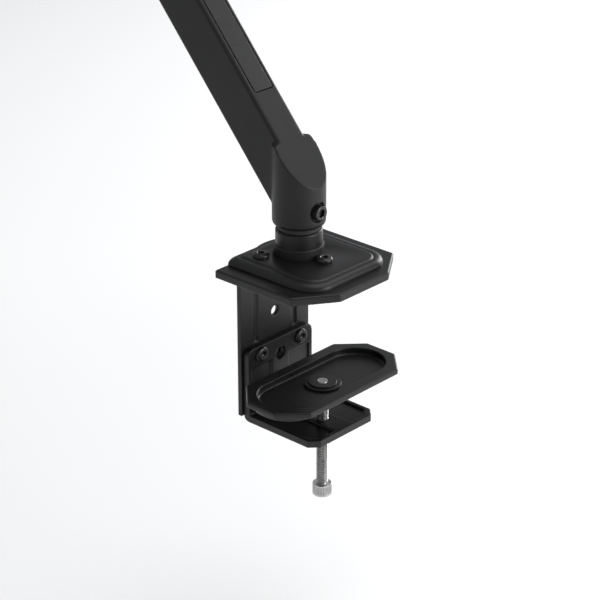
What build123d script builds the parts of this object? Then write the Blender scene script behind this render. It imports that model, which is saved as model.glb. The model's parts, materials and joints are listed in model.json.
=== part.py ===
"""Desk-clamp monitor arm: a jaw clamp, a pole, an inclined lower arm, a gas-spring
parallelogram upper arm and a tilting plate for a screen.

Frame: the origin is on the pole's swivel axis, at the desk's top face. +X points in over
the desk, +Y along the desk's edge and +Z up. Millimetres.
"""
from build123d import *
import os
from math import cos, radians, sin

os.makedirs("parts", exist_ok=True)

# ---- fits -------------------------------------------------------------------------------
RUNNING = 0.05            # radial play of a pin or shaft that turns in a hole
LOOSE = 0.25              # play round a screw or a part laid in a pocket
GAP = 0.6                 # air between faces that pass each other
PAST = 1.0                # how far a cut is carried past the face it opens
THROUGH = 40.0            # half length of a hole bored right through a part

# ---- upper jaw: base plate and post base ------------------------------------------------
PLATE_BACK = -28.0
PLATE_LENGTH = 84.5
PLATE_WIDTH = 98.5
PLATE_THICK = 5.5
PLATE_CUT_X = 18.0        # the two front corners are cut off
PLATE_CUT_Y = 26.0
PLATE_EDGE = 0.7
FOOT_TOP_BACK = -26.0
FOOT_TOP_LENGTH = 69.5
FOOT_TOP_WIDTH = 65.0
FOOT_HEIGHT = 5.5
FOOT_FLARE_SIDE = 6.5     # the foot's walls spread by this much at the two sides
FOOT_FLARE_FRONT = 4.5
FOOT_FRONT_ROUND = 13.0
FOOT_SKIRT_ROUND = 18.0   # the same front corners, where the foot meets the plate
FOOT_BACK_ROUND = 2.5
FOOT_EDGE = 1.6           # rounding along the foot's top edge
BASE_SCREW_FRONT = 22.0   # one screw straight ahead of the axis
BASE_SCREW_BACK = -13.0   # and two behind it
BASE_SCREW_APART = 44.0
BASE_SCREW_R = 3.0
BASE_HEAD_R = 5.5
BASE_HEAD_HIGH = 2.6
BASE_HEAD_HEX = 4.0
BASE_SOCKET_FLOOR = 1.0

# ---- pole -------------------------------------------------------------------------------
POLE_R = 15.5
POLE_TOP = 28.0
POLE_FLANGE_R = 30.0
POLE_FLANGE_THICK = 3.0
COLLAR_WALL = 0.8
COLLAR_TOP = 17.5
SPIGOT_R = 10.0          # turned-down top of the pole, inside the hub
SPIGOT_TOP = 58.0
GROOVE_DEEP = 1.5
GROOVE_WIDE = 8.0

# ---- clamp brackets ---------------------------------------------------------------------
SHEET = 3.5
BRACKET_BACK = -25.0
UPPER_WIDTH = 66.0
UPPER_FLANGE_FRONT = 37.0
UPPER_BOTTOM = -104.5
RIB_Y = 18.5
RIB_WIDE = 4.0
RIB_DEEP = 1.3
RIB_TOP = -6.0
SIGHT_HOLE_Z = -38.0
SIGHT_HOLE_R = 3.4
LOWER_WIDTH = 62.0
LOWER_TOP = -55.5
LOWER_BOTTOM = -108.0
LOWER_FRONT = 42.0
LOWER_CUT = 6.0
LOWER_ROUND = 5.0         # top corners of the upright
HEEL_ROUND = 4.0
RIM_WIDE = 3.0
RIM_HIGH = 1.5            # the rims and the middle land stand this far above the sheet
LAND_WIDE = 16.0
POCKET_DOWN = 14.0        # the pockets start this far below the upright's top
BOLT_Y = 19.0
BOLT_Z = -61.5
BOLT_R = 3.0
BOLT_HEAD_R = 5.25
BOLT_HEAD_HIGH = 2.6
BOLT_NUT = 10.0           # across flats
BOLT_NUT_THICK = 5.0
CENTRE_HOLE_Z = -67.5
CENTRE_HOLE_R = 4.5
BACK_HOLE_DROP = 1.5      # the upper bracket's own hole sits lower and is smaller
BACK_HOLE_R = 3.5

# ---- clamp screw and pad ----------------------------------------------------------------
SCREW_X = 21.0
SCREW_R = 3.95            # M8 over the thread's crests
SCREW_HEAD_R = 6.5
SCREW_HEAD_TOP = -152.0
SCREW_HEAD_HIGH = 8.5
SCREW_HEX = 6.0
SCREW_SOCKET_DEEP = 5.0
PAD_TOP = -73.0
PAD_THICK = 4.0
PAD_X = 57.5
PAD_Y = 118.5
PAD_CUT = 16.5
PAD_SHEET = 3.0
RECESS_LONG = 106.0
RECESS_WIDE = 41.0
RECESS_DEEP = 5.0
DISC_R = 12.4
DISC_STEP_R = 9.6
DISC_LIP = 1.4
DISC_HIGH = 2.3
CLIP_R = 8.0              # clip that holds the pad on the screw
CLIP_THICK = 1.6

# ---- lower arm --------------------------------------------------------------------------
HUB_R = 17.5
HUB_BOTTOM = 31.0
HUB_TOP = 86.0
HUB_EDGE = 3.0            # rounding of the hub's lower rim
HUB_RIM = 1.5             # and of its upper one
HUB_BUSH_R = 13.0
HUB_SEAT = 1.0            # the thrust washer reaches this far past the bush, under the hub
ARM_SLOPE = 49.0          # degrees above the desk
ARM_CROSS_Z = 53.8        # the beam's middle line crosses the swivel axis here
ARM_RUN = 200.0           # along the slope, from swivel axis to elbow axis
BEAM_WIDE = 24.0
BEAM_DEEP = 34.0
BEAM_ROUND = 2.5
TRAY_WIDE = 13.0
TRAY_DEEP = 21.0
TRAY_COVER = 2.5
TRAY_START = 68.0         # along the slope, from the swivel axis
TRAY_STOP = 36.0          # and its end, short of the elbow axis
TRAY_LEDGE = 2.0          # the cover rests on a ledge this wide
TRAY_LEDGE_END = 3.0
LIP_END = 8.0             # the cover's snap lips stop short of the tray's ends
LIP_DEEP = 4.0
LIP_THICK = 1.5
HUB_SCREW_Z = 42.5
HUB_SCREW_R = 3.0
HUB_HEAD_R = 5.0
HUB_HEAD_HIGH = 5.0
HUB_CBORE_R = 6.6
HUB_CBORE_DEEP = 2.5      # below the hub's front
HUB_SOCKET_FLOOR = 2.0    # floor of the screw's socket, above the counterbore's floor
SMALL_HEX = 5.0           # key size of the hub screw and the tilt bolt

# ---- elbow ------------------------------------------------------------------------------
BOSS_R = 20.0
BOSS_BELOW = 26.0         # below the beam's end point
BOSS_ABOVE = 20.0
ELBOW_BUSH_R = 10.0
ELBOW_PIN_R = 8.0
ELBOW_RECESS_R = 13.5
ELBOW_RECESS_DEEP = 10.0
CAP_THICK = 2.5
RETAINER_THICK = 2.0      # washer and screw that hold the elbow pin from below
ELBOW_SCREW_LONG = 12.0
ELBOW_SCREW_HEAD = 3.5
ELBOW_KEY = 4.0
WASHER = 1.0
TURNTABLE_R = 19.0
TURNTABLE_HIGH = 9.0

# ---- upper arm --------------------------------------------------------------------------
ARM_LENGTH = 215.0        # between the lift pivot and the levelling pivot
PIVOT_FORWARD = 24.0      # lift pivot, from the elbow axis
PIVOT_SPREAD = 22.0       # the link's pivots lie this far below the arm's
LINK_PIVOT_UP = 6.0       # link pivot above the turntable's top
PIVOT_R = 3.5
TONGUE_HALF = 15.0
CHEEK_GAP = 7.0           # half the gap between the knuckle's two cheeks
TONGUE_R = 11.0
LINK_TONGUE_R = 10.0
SHELL_HALF = 22.0
SHELL_WALL = 3.0
SHELL_ROUND = 7.0
SHELL_SKIRT = 18.0        # the side walls reach this far below the lift pivot
WEB_CLEAR = 13.0          # lift pivot to the underside of the shell's top
SHELL_END = 15.5          # shell beyond each pivot
SHELL_CORNER = 9.0        # the skirt's lower corners are cut off
SPACER_R = 7.0
LINK_HALF = 18.0
LINK_WALL = 2.4
LINK_FLOOR_DOWN = 13.0    # link pivot to the link's underside
LINK_SIDE = 12.0          # height of the link's side walls between its ears
LINK_EAR_R = 8.0
LINK_END = 9.0            # the link's channel starts this far inside its pivots
EAR_REACH = 26.0
LINK_FLOOR_THICK = 2.5
COVER_THICK = 2.0
COVER_SHORT = 3.0
CLIP_HALF = 9.0           # cable clips under the link
CLIP_DROP = 9.0
CLIP_WALL = 2.0
CLIP_LONG = 12.0
GAS_R = 9.0
GAS_BORE_R = 7.5
GAS_ROD_R = 4.0
GAS_DOWN = 11.0           # the gas spring's axis below the lift pivot
GAS_START = 62.0          # from the elbow axis
GAS_EYE_SHORT = 39.0      # the spring's rear eye, short of the levelling pivot
GAS_EYE_LONG = 10.0       # tube's end to eye
GAS_WALL = 4.0            # the tube's end walls
GAS_PIN_R = 3.0
GAS_EYE_R = 6.5
GAS_EYE_HALF = 6.0
PISTON_AT = 46.0          # piston inside the tube, from the tube's front
PISTON_LONG = 8.0
NOSE_AHEAD = 4.0          # the spring's seat, ahead of and below the lift pivot
NOSE_R = 5.0
SEAT_PLAY = 0.8
ROD_END_LONG = 7.0
TENSION_R = 4.0
TENSION_BACK = 5.0        # tension screw's axis, behind the elbow axis
BACK_WALL = 5.0           # knuckle behind the tension screw
BACK_WALL_THICK = 3.5
CROWN_DOWN = 6.0          # the knuckle's crown, below the lift pivot
CROWN_FALL = 3.0          # and how much it falls towards the back

# ---- head -------------------------------------------------------------------------------
HEAD_REACH = 30.0         # levelling pivot to head swivel axis
BARREL_R = 17.0
BARREL_DOWN = 5.0         # barrel's underside below the link pivots
BARREL_HIGH = 29.0
HEAD_PIN_R = 7.0
HEAD_BUSH_R = 9.0
BRACKET_THICK = 8.0
TILT_REACH = 42.0         # head swivel axis to tilt axis
TILT_UP = 12.0            # tilt axis above the swivel bracket's top
EAR_INNER = 13.5
EAR_THICK = 6.0
EAR_R = 10.0
TILT_BOLT_R = 4.0
TILT_BOLT_PAST = 7.0      # bolt beyond the far ear, through its nut
TILT_HEAD_R = 6.5
TILT_HEAD_HIGH = 5.0
TILT_NUT = 13.0           # across flats
TILT_NUT_THICK = 6.0
FLANGE_AHEAD = 16.0       # tilt axis to the flange's back
FLANGE_R = 18.0
FLANGE_THICK = 3.0
SPINDLE_R = 5.0
FRICTION_THICK = 0.8
VESA_SIDE = 116.0
VESA_THICK = 2.5
VESA_CORNER = 8.0
VESA_SLOT_LONG = 34.0     # slots near the plate's four sides
VESA_SLOT_WIDE = 6.0
VESA_SLOT_IN = 9.0
VESA_WIDE_PATTERN = 100.0
VESA_SMALL_PATTERN = 75.0
VESA_HOLE_R = 2.6
DISH_R = 20.0
DISH_DEEP = 5.0
NUT_R = 8.0

# ---- places worked out from the sizes above ---------------------------------------------
FOOT_TOP = PLATE_THICK + FOOT_HEIGHT
PLATE_FRONT = PLATE_BACK + PLATE_LENGTH
BRACKET_FACE = BRACKET_BACK + SHEET
LOWER_FACE = BRACKET_FACE + SHEET
RECESS_FLOOR = PAD_TOP - RECESS_DEEP
SCREW_TIP = RECESS_FLOOR + DISC_HIGH + 0.4
COLLAR_R = POLE_R + COLLAR_WALL
WASHER_R = HUB_BUSH_R + HUB_SEAT
HUB_CBORE_X = HUB_R - HUB_CBORE_DEEP
TRAY_END = ARM_RUN - TRAY_STOP
COS_SLOPE = cos(radians(ARM_SLOPE))
SIN_SLOPE = sin(radians(ARM_SLOPE))
ELBOW_X = -ARM_RUN * COS_SLOPE
ELBOW_MID = ARM_CROSS_Z + ARM_RUN * SIN_SLOPE
BOSS_BOTTOM = ELBOW_MID - BOSS_BELOW
BOSS_TOP = ELBOW_MID + BOSS_ABOVE
TABLE_BOTTOM = BOSS_TOP + WASHER
TABLE_TOP = TABLE_BOTTOM + TURNTABLE_HIGH
LINK_Z = TABLE_TOP + LINK_PIVOT_UP
LIFT_Z = LINK_Z + PIVOT_SPREAD
NEAR = PIVOT_FORWARD
FAR = PIVOT_FORWARD + ARM_LENGTH
HEAD_Y = FAR + HEAD_REACH
GAS_EYE = FAR - GAS_EYE_SHORT
GAS_END = GAS_EYE - GAS_EYE_LONG
NOSE_Y = NEAR + NOSE_AHEAD
GAS_Z = LIFT_Z - GAS_DOWN
LINK_FLOOR = LINK_Z - LINK_FLOOR_DOWN
BARREL_BOTTOM = LINK_Z - BARREL_DOWN
BARREL_TOP = BARREL_BOTTOM + BARREL_HIGH
SWIVEL_TOP = BARREL_BOTTOM - WASHER
SWIVEL_BOTTOM = SWIVEL_TOP - BRACKET_THICK
TILT_Z = SWIVEL_TOP + TILT_UP
TILT_X = ELBOW_X + TILT_REACH
FLANGE_FRONT = TILT_X + FLANGE_AHEAD + FLANGE_THICK
DISH_BACK = FLANGE_FRONT + FRICTION_THICK
VESA_BACK = DISH_BACK + DISH_DEEP


# ---- small helpers ----------------------------------------------------------------------
def box(x0, x1, y0, y1, z0, z1):
    """A box between two corners."""
    return Pos((x0 + x1) / 2, (y0 + y1) / 2, (z0 + z1) / 2) * Box(x1 - x0, y1 - y0, z1 - z0)


def post(x, y, z0, z1, radius):
    """A cylinder along Z."""
    return Pos(x, y, (z0 + z1) / 2) * Cylinder(radius, z1 - z0)


def bar_x(y, z, x0, x1, radius):
    """A cylinder along X."""
    return Pos((x0 + x1) / 2, y, z) * Rot(0, 90, 0) * Cylinder(radius, x1 - x0)


def bar_y(x, z, y0, y1, radius):
    """A cylinder along Y."""
    return Pos(x, (y0 + y1) / 2, z) * Rot(90, 0, 0) * Cylinder(radius, y1 - y0)


def prism(points, z0, z1):
    """A flat outline in XY, pulled up from z0 to z1."""
    return Pos(0, 0, z0) * extrude(make_face(Polyline(*points, close=True)), z1 - z0)


def side_prism(points, x0, x1):
    """An outline of (y, z) points, pulled along X from x0 to x1."""
    outline = Polyline(*[(x0, y, z) for y, z in points], close=True)
    return extrude(make_face(outline), x1 - x0, dir=(1, 0, 0))


def front_prism(points, y0, y1):
    """An outline of (x, z) points, pulled along Y from y0 to y1."""
    outline = Polyline(*[(x, y0, z) for x, z in points], close=True)
    return extrude(make_face(outline), y1 - y0, dir=(0, 1, 0))


def hexagon(x, y, z0, z1, across):
    """A hexagonal column along Z, given across its flats."""
    return Pos(x, y, z0) * extrude(RegularPolygon(across / 2, 6, major_radius=False), z1 - z0)


def save(name, *solids):
    """Write one node."""
    shape = solids[0] if len(solids) == 1 else Compound(children=list(solids))
    if isinstance(shape, Part) and len(shape.solids()) == 1:
        shape = shape.solids()[0]
    export_step(shape, f"parts/{name}.step")


# ---- upper jaw --------------------------------------------------------------------------
def cut_corner_outline(x0, x1, half, cut_x, cut_y):
    """A rectangle with its two front corners cut off."""
    return [(x0, -half), (x1 - cut_x, -half), (x1, -half + cut_y),
            (x1, half - cut_y), (x1 - cut_x, half), (x0, half)]


def base_screw_places():
    """The three foot screws, one of them straight ahead."""
    half = BASE_SCREW_APART / 2
    return [(BASE_SCREW_FRONT, 0), (BASE_SCREW_BACK, half), (BASE_SCREW_BACK, -half)]


def base_plate():
    outline = cut_corner_outline(PLATE_BACK, PLATE_FRONT, PLATE_WIDTH / 2, PLATE_CUT_X, PLATE_CUT_Y)
    body = prism(outline, 0, PLATE_THICK)
    body = chamfer(body.faces().sort_by(Axis.Z)[-1].edges(), PLATE_EDGE)
    half = UPPER_WIDTH / 2 + LOOSE
    body -= box(BRACKET_BACK - LOOSE, UPPER_FLANGE_FRONT + LOOSE, -half, half, -1, SHEET)
    for x, y in base_screw_places():
        body -= post(x, y, -1, PLATE_THICK + 1, BASE_SCREW_R + LOOSE)
    save("base_plate", body)


def foot_outline(back, ahead, aside, front_round):
    """The foot's outline at one height; ahead and aside are its spread there."""
    half = FOOT_TOP_WIDTH / 2 + aside
    front = FOOT_TOP_BACK + FOOT_TOP_LENGTH + ahead
    face = make_face(Polyline((back, -half), (front, -half), (front, half), (back, half), close=True))
    corners = face.vertices().sort_by(Axis.X)
    face = fillet(corners[2:], front_round)
    return fillet(face.vertices().sort_by(Axis.X)[:2], FOOT_BACK_ROUND)


def post_base():
    low = foot_outline(PLATE_BACK, FOOT_FLARE_FRONT, FOOT_FLARE_SIDE, FOOT_SKIRT_ROUND)
    high = foot_outline(FOOT_TOP_BACK, 0, 0, FOOT_FRONT_ROUND)
    body = loft([Pos(0, 0, PLATE_THICK) * low, Pos(0, 0, FOOT_TOP) * high])
    body = fillet(body.faces().sort_by(Axis.Z)[-1].edges(), FOOT_EDGE)
    body -= post(0, 0, PLATE_THICK - 1, PLATE_THICK + POLE_FLANGE_THICK, POLE_FLANGE_R + LOOSE)
    body -= post(0, 0, PLATE_THICK, FOOT_TOP + 1, POLE_R + LOOSE)
    for x, y in base_screw_places():
        body -= post(x, y, PLATE_THICK, FOOT_TOP + 1, BASE_SCREW_R + LOOSE)
    save("post_base", body)


def pole():
    body = post(0, 0, PLATE_THICK, PLATE_THICK + POLE_FLANGE_THICK, POLE_FLANGE_R)
    shaft = post(0, 0, PLATE_THICK, POLE_TOP, POLE_R)
    body += fillet(shaft.edges().sort_by(Axis.Z)[-1:], 1.5)
    spigot = post(0, 0, POLE_TOP, SPIGOT_TOP, SPIGOT_R)
    groove = post(0, 0, HUB_SCREW_Z - GROOVE_WIDE / 2, HUB_SCREW_Z + GROOVE_WIDE / 2, SPIGOT_R + 1)
    groove -= post(0, 0, HUB_SCREW_Z - GROOVE_WIDE, HUB_SCREW_Z + GROOVE_WIDE, SPIGOT_R - GROOVE_DEEP)
    body += chamfer(spigot.edges().sort_by(Axis.Z)[-1:], 1.0) - groove
    for x, y in base_screw_places():
        body -= post(x, y, PLATE_THICK - 1, POLE_TOP / 2, BASE_SCREW_R + LOOSE)
    save("pole", body)
    collar = post(0, 0, FOOT_TOP, COLLAR_TOP, COLLAR_R)
    collar = fillet(collar.edges().sort_by(Axis.Z)[-1:], 0.6)
    collar -= post(0, 0, FOOT_TOP - 1, COLLAR_TOP + 1, POLE_R)
    save("pole_collar", collar)
    washer = post(0, 0, POLE_TOP, HUB_BOTTOM, WASHER_R) - post(0, 0, 0, HUB_TOP, SPIGOT_R + LOOSE)
    save("thrust_washer", washer)


def base_screws():
    screws = []
    for x, y in base_screw_places():
        shank = post(x, y, 0.3, FOOT_TOP, BASE_SCREW_R)
        head = post(x, y, FOOT_TOP, FOOT_TOP + BASE_HEAD_HIGH, BASE_HEAD_R)
        head = fillet(head.edges().sort_by(Axis.Z)[-1:], BASE_HEAD_HIGH / 2)
        head -= hexagon(x, y, FOOT_TOP + BASE_SOCKET_FLOOR, FOOT_TOP + BASE_HEAD_HIGH + 1, BASE_HEAD_HEX)
        screws.append((shank + head).solids()[0])
    save("base_screws", *screws)


# ---- clamp brackets ---------------------------------------------------------------------
def bracket_bolt_places():
    return [(-BOLT_Y, BOLT_Z), (BOLT_Y, BOLT_Z)]


def upper_bracket():
    half = UPPER_WIDTH / 2
    body = box(BRACKET_BACK, UPPER_FLANGE_FRONT, -half, half, 0, SHEET)
    body += box(BRACKET_BACK, BRACKET_FACE, -half, half, UPPER_BOTTOM, SHEET)
    bend = body.edges().filter_by(Axis.Y).filter_by(lambda e: abs(e.center().X - BRACKET_BACK) < 0.01)
    body = fillet(bend.sort_by(Axis.Z)[-1:], SHEET - 0.5)
    rib_bottom = BOLT_Z + BOLT_NUT * 0.6
    for side in (-RIB_Y, RIB_Y):
        y0, y1 = side - RIB_WIDE / 2, side + RIB_WIDE / 2
        body += box(BRACKET_BACK - RIB_DEEP, BRACKET_BACK, y0, y1, rib_bottom, RIB_TOP)
        body -= box(BRACKET_FACE - RIB_DEEP, BRACKET_FACE + 1, y0, y1, rib_bottom, RIB_TOP)
    body -= bar_x(0, SIGHT_HOLE_Z, BRACKET_BACK - 9, BRACKET_FACE + 1, SIGHT_HOLE_R)
    body -= bar_x(0, CENTRE_HOLE_Z - BACK_HOLE_DROP, BRACKET_BACK - 9, BRACKET_FACE + 1, BACK_HOLE_R)
    for y, z in bracket_bolt_places():
        body -= bar_x(y, z, BRACKET_BACK - 9, BRACKET_FACE + 1, BOLT_R)
    for x, y in base_screw_places():
        body -= post(x, y, -1, SHEET + 1, BASE_SCREW_R)
    save("upper_bracket", body)


def lower_bracket():
    half = LOWER_WIDTH / 2
    rim_face = LOWER_FACE + RIM_HIGH
    rim_top = LOWER_BOTTOM + SHEET + RIM_HIGH
    upright = box(BRACKET_FACE, rim_face, -half, half, LOWER_BOTTOM, LOWER_TOP)
    upright = fillet(upright.edges().filter_by(Axis.X).sort_by(Axis.Z)[-2:], LOWER_ROUND)
    floor = cut_corner_outline(BRACKET_FACE, LOWER_FRONT, half, LOWER_CUT, LOWER_CUT)
    body = upright + prism(floor, LOWER_BOTTOM, rim_top)
    heel = body.edges().filter_by(Axis.Y).filter_by(lambda e: abs(e.center().X - BRACKET_FACE) < 0.01)
    body = fillet(heel.sort_by(Axis.Z)[:1], HEEL_ROUND)
    inner = half - RIM_WIDE
    pocket = prism(cut_corner_outline(LOWER_FACE, LOWER_FRONT - RIM_WIDE, inner, LOWER_CUT, LOWER_CUT),
                   LOWER_BOTTOM + SHEET, rim_top + 1)
    pocket += box(LOWER_FACE, rim_face + 1, -inner, inner, LOWER_BOTTOM + SHEET, LOWER_TOP - POCKET_DOWN)
    pocket -= box(LOWER_FACE - 1, LOWER_FRONT, -LAND_WIDE / 2, LAND_WIDE / 2, LOWER_BOTTOM, LOWER_TOP)
    body -= pocket
    body -= bar_x(0, CENTRE_HOLE_Z, BRACKET_FACE - 1, rim_face + 1, CENTRE_HOLE_R)
    for y, z in bracket_bolt_places():
        body -= bar_x(y, z, BRACKET_FACE - 1, rim_face + 1, BOLT_R + LOOSE)
    body -= post(SCREW_X, 0, LOWER_BOTTOM - 1, rim_top + 1, SCREW_R + RUNNING)
    save("lower_bracket", body)


def bracket_bolts():
    rim_face = LOWER_FACE + RIM_HIGH
    bolts, nuts = [], []
    for y, z in bracket_bolt_places():
        shank = bar_x(y, z, BRACKET_BACK - BOLT_NUT_THICK - 1, rim_face, BOLT_R)
        head = bar_x(y, z, rim_face, rim_face + BOLT_HEAD_HIGH, BOLT_HEAD_R)
        head = fillet(head.edges().sort_by(Axis.X)[-1:], BOLT_HEAD_HIGH / 2)
        bolts.append((shank + head).solids()[0])
        hexagon_face = RegularPolygon(BOLT_NUT / 2, 6, major_radius=False)
        nut = Pos(BRACKET_BACK - BOLT_NUT_THICK, y, z) * Rot(0, 90, 0) * extrude(hexagon_face, BOLT_NUT_THICK)
        nuts.append((nut - bar_x(y, z, BRACKET_BACK - 6, BRACKET_BACK + 1, BOLT_R)).solids()[0])
    save("bracket_bolts", *bolts)
    save("bracket_nuts", *nuts)


# ---- clamp screw and pad ----------------------------------------------------------------
def clamp_screw():
    shank = post(SCREW_X, 0, SCREW_HEAD_TOP, SCREW_TIP, SCREW_R)
    shank = chamfer(shank.edges().sort_by(Axis.Z)[-1:], 0.5)
    head = post(SCREW_X, 0, SCREW_HEAD_TOP - SCREW_HEAD_HIGH, SCREW_HEAD_TOP, SCREW_HEAD_R)
    head = chamfer(head.edges().sort_by(Axis.Z)[:1], 0.8)
    head_end = SCREW_HEAD_TOP - SCREW_HEAD_HIGH
    head -= hexagon(SCREW_X, 0, head_end - 1, head_end + SCREW_SOCKET_DEEP, SCREW_HEX)
    save("clamp_screw", shank + head)


def pad_outline():
    x0, x1, half = SCREW_X - PAD_X / 2, SCREW_X + PAD_X / 2, PAD_Y / 2
    return [(x0 + PAD_CUT, -half), (x1 - PAD_CUT, -half), (x1, PAD_CUT - half), (x1, half - PAD_CUT),
            (x1 - PAD_CUT, half), (x0 + PAD_CUT, half), (x0, half - PAD_CUT), (x0, PAD_CUT - half)]


def clamp_pad():
    body = prism(pad_outline(), PAD_TOP - PAD_THICK, PAD_TOP)
    body = fillet(body.faces().sort_by(Axis.Z)[-1].edges(), 0.8)
    recess = Pos(SCREW_X, 0) * Rot(0, 0, 90) * SlotOverall(RECESS_LONG, RECESS_WIDE)
    well = Pos(SCREW_X, 0) * Rot(0, 0, 90) * SlotOverall(RECESS_LONG + 2 * PAD_SHEET, RECESS_WIDE + 2 * PAD_SHEET)
    body += Pos(0, 0, RECESS_FLOOR - PAD_SHEET) * extrude(well, RECESS_DEEP)
    body -= Pos(0, 0, RECESS_FLOOR) * extrude(recess, RECESS_DEEP + 1)
    body -= post(SCREW_X, 0, RECESS_FLOOR - 9, PAD_TOP, SCREW_R + RUNNING)
    save("clamp_pad", body)


def pad_hardware():
    lip = post(SCREW_X, 0, RECESS_FLOOR, RECESS_FLOOR + DISC_LIP, DISC_R)
    step = post(SCREW_X, 0, RECESS_FLOOR, RECESS_FLOOR + DISC_HIGH, DISC_STEP_R)
    disc = fillet(lip.edges().sort_by(Axis.Z)[-1:], 0.5) + fillet(step.edges().sort_by(Axis.Z)[-1:], 0.5)
    disc -= post(SCREW_X, 0, RECESS_FLOOR - 1, PAD_TOP, SCREW_R + RUNNING)
    save("pad_disc", disc)
    under = RECESS_FLOOR - PAD_SHEET
    clip = post(SCREW_X, 0, under - CLIP_THICK, under, CLIP_R)
    clip -= post(SCREW_X, 0, under - CLIP_THICK - 1, under + 1, SCREW_R + RUNNING)
    save("pad_clip", clip)


# ---- lower arm --------------------------------------------------------------------------
def along_beam(start, end, half_wide, low, high):
    """A block laid along the sloping beam; low and high are square to its top face."""
    slope = Plane(origin=(0, 0, ARM_CROSS_Z), x_dir=(-COS_SLOPE, 0, SIN_SLOPE),
                  z_dir=(SIN_SLOPE, 0, COS_SLOPE))
    block = Pos((start + end) / 2, 0, (low + high) / 2) * Box(end - start, 2 * half_wide, high - low)
    return slope * block


def lower_arm():
    half_deep = BEAM_DEEP / 2
    beam = along_beam(-40, ARM_RUN, BEAM_WIDE / 2, -half_deep, half_deep)
    long_edges = beam.edges().filter_by(lambda e: e.length > ARM_RUN)
    beam = fillet(long_edges, BEAM_ROUND)
    beam &= box(-2 * ARM_RUN, 0, -HUB_R, HUB_R, HUB_BOTTOM, 2 * ARM_RUN)
    hub = post(0, 0, HUB_BOTTOM, HUB_TOP, HUB_R)
    hub = fillet(hub.edges().sort_by(Axis.Z)[:1], HUB_EDGE)
    hub = fillet(hub.edges().sort_by(Axis.Z)[-1:], HUB_RIM)
    hub -= along_beam(-200, 200, HUB_R + 5, half_deep, half_deep + 150)
    boss = post(ELBOW_X, 0, BOSS_BOTTOM, BOSS_TOP, BOSS_R)
    boss = fillet(boss.edges().filter_by(GeomType.CIRCLE), 2.0)
    body = hub + beam + boss
    cover_start, cover_end = TRAY_START - TRAY_LEDGE_END, TRAY_END + TRAY_LEDGE_END
    cover_half = TRAY_WIDE / 2 + TRAY_LEDGE
    cover_under = half_deep - TRAY_COVER
    body -= along_beam(TRAY_START, TRAY_END, TRAY_WIDE / 2, half_deep - TRAY_DEEP, cover_under)
    body -= along_beam(cover_start, cover_end, cover_half, cover_under, half_deep + 5)
    body -= post(0, 0, HUB_BOTTOM - 1, SPIGOT_TOP + 1.5, HUB_BUSH_R)
    body -= bar_x(0, HUB_SCREW_Z, 0, HUB_R + 5, HUB_SCREW_R)
    body -= bar_x(0, HUB_SCREW_Z, HUB_CBORE_X, HUB_R + 5, HUB_CBORE_R)
    body -= post(ELBOW_X, 0, BOSS_BOTTOM - 1, BOSS_TOP + 1, ELBOW_BUSH_R)
    body -= post(ELBOW_X, 0, BOSS_BOTTOM - 1, BOSS_BOTTOM + ELBOW_RECESS_DEEP, ELBOW_RECESS_R)
    save("lower_arm", body)
    cover = along_beam(cover_start + LOOSE, cover_end - LOOSE, cover_half - LOOSE, cover_under, half_deep)
    lips = along_beam(TRAY_START + LIP_END, TRAY_END - LIP_END, TRAY_WIDE / 2 - LOOSE,
                      cover_under - LIP_DEEP, cover_under)
    lips -= along_beam(0, ARM_RUN, TRAY_WIDE / 2 - LOOSE - LIP_THICK, 0, half_deep)
    save("lower_arm_cover", cover + lips)


def hub_parts():
    bush = post(0, 0, HUB_BOTTOM, SPIGOT_TOP, HUB_BUSH_R) - post(0, 0, 0, HUB_TOP, SPIGOT_R + RUNNING)
    bush -= bar_x(0, HUB_SCREW_Z, 0, HUB_R, HUB_SCREW_R + LOOSE)
    save("swivel_bush", bush)
    groove_r = SPIGOT_R - GROOVE_DEEP
    plug = bar_x(0, HUB_SCREW_Z, groove_r + RUNNING, HUB_BUSH_R - 0.5, HUB_SCREW_R)
    plug -= post(0, 0, 0, HUB_TOP, groove_r + RUNNING)
    save("friction_plug", plug)
    shank = bar_x(0, HUB_SCREW_Z, HUB_BUSH_R - 0.5, HUB_CBORE_X, HUB_SCREW_R)
    head = bar_x(0, HUB_SCREW_Z, HUB_CBORE_X, HUB_CBORE_X + HUB_HEAD_HIGH, HUB_HEAD_R)
    head = chamfer(head.edges().sort_by(Axis.X)[-1:], 0.6)
    socket = Pos(HUB_CBORE_X + HUB_SOCKET_FLOOR, 0, HUB_SCREW_Z) * Rot(0, 90, 0) * extrude(
        RegularPolygon(SMALL_HEX / 2, 6, major_radius=False), HUB_HEAD_HIGH)
    save("hub_screw", shank + head - socket)


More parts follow.
